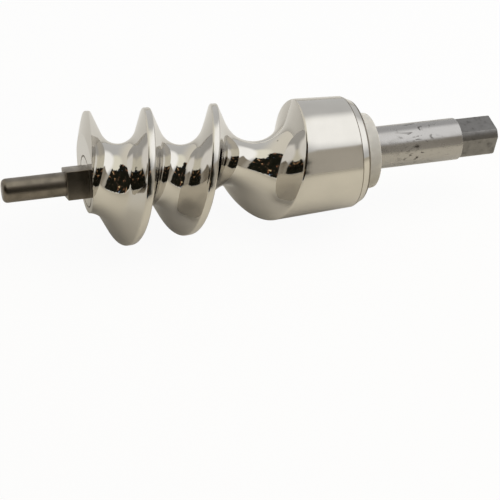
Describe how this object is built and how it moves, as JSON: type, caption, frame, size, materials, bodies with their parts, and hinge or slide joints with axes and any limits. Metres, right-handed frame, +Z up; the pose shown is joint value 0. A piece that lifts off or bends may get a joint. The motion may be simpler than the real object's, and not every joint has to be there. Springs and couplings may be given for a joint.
{
  "type": "feed screw",
  "caption": "Feed screw of a meat chopper: polished tapered worm with a left-hand flight, knife stud with a square and a pin, ground drive shaft with a squared end, and a thrust washer.",
  "frame": {"origin": "on the screw's axis, in the plane of the thrust washer's rear face, where the drive shaft enters its bearing", "axes": "+X along the axis towards the squared drive end, +Z up with the screw lying as it comes to rest"},
  "size_m": [0.2232, 0.0586, 0.058],
  "materials": {
    "polished_casting": "mirror polished cast metal",
    "dark_steel": "dark worn steel",
    "ground_steel": "ground steel with stains",
    "white_nylon": "translucent white nylon"
  },
  "bodies": {
    "root": {"worm": "polished_casting", "knife_stud": "dark_steel", "drive_shaft": "ground_steel", "thrust_washer": "white_nylon"}
  },
  "joints": []
}
